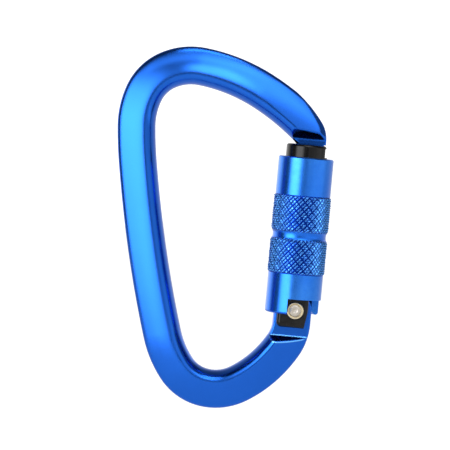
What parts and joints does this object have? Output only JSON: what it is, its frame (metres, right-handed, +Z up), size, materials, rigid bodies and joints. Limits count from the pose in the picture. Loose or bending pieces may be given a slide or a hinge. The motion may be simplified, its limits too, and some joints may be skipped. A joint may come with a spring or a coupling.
{
  "type": "locking carabiner",
  "caption": "D-shaped locking carabiner with a twist-lock sleeve on a spring-loaded gate; clips a rope or sling to an anchor.",
  "frame": {"origin": "innermost point of the upper rope seat, in the carabiner's middle plane", "axes": "+Z up along the load axis from the lower to the upper rope seat, +X from the spine towards the gate, -Y out of the front face, where the sleeve's notch shows the rivet"},
  "size_m": [0.065, 0.0174, 0.1097],
  "materials": {
    "blue_anodised_frame": "polished and anodised blue",
    "blue_anodised_sleeve": "turned and anodised blue, knurled bands",
    "black_anodised_gate": "anodised black, satin",
    "rivet_steel": "plated steel, dished heads",
    "pin_steel": "ground",
    "spring_steel": "drawn wire",
    "bush_plastic": "moulded"
  },
  "bodies": {
    "frame": {"frame": "blue_anodised_frame"},
    "gate": {"gate": "black_anodised_gate", "hinge_rivet": "rivet_steel", "stop_pin": "pin_steel", "sleeve_bush": "bush_plastic", "retaining_ring": "spring_steel", "sleeve_spring": "spring_steel", "gate_spring": "spring_steel"},
    "sleeve": {"locking_sleeve": "blue_anodised_sleeve"},
    "plunger": {"gate_plunger": "pin_steel"}
  },
  "joints": [
    {"name": "gate_swing", "type": "hinge", "parent": "frame", "child": "gate", "pos_m": [0.02504, 0, -0.07123], "axis": [0, -1, 0], "range_deg": [0, 24], "stiffness_Nm_per_rad": 0.5, "springref_deg": -17.19},
    {"name": "sleeve_twist", "type": "hinge", "parent": "gate", "child": "sleeve", "pos_m": [0.0244, 0, -0.0711], "axis": [0.2076, 0, 0.9782], "range_deg": [-96, 0], "stiffness_Nm_per_rad": 0.01, "springref_deg": 34.38, "deforming": ["sleeve_spring"]},
    {"name": "plunger_slide", "type": "slide", "parent": "gate", "child": "plunger", "axis": [0.2076, 0, 0.9782], "range_m": [0, 0.00105], "deforming": ["gate_spring"]}
  ],
  "couplings": [
    {"joint": "sleeve_twist", "follows": "gate_swing", "ratio": -4},
    {"joint": "plunger_slide", "follows": "gate_swing", "m_per_rad": 0.0025}
  ]
}
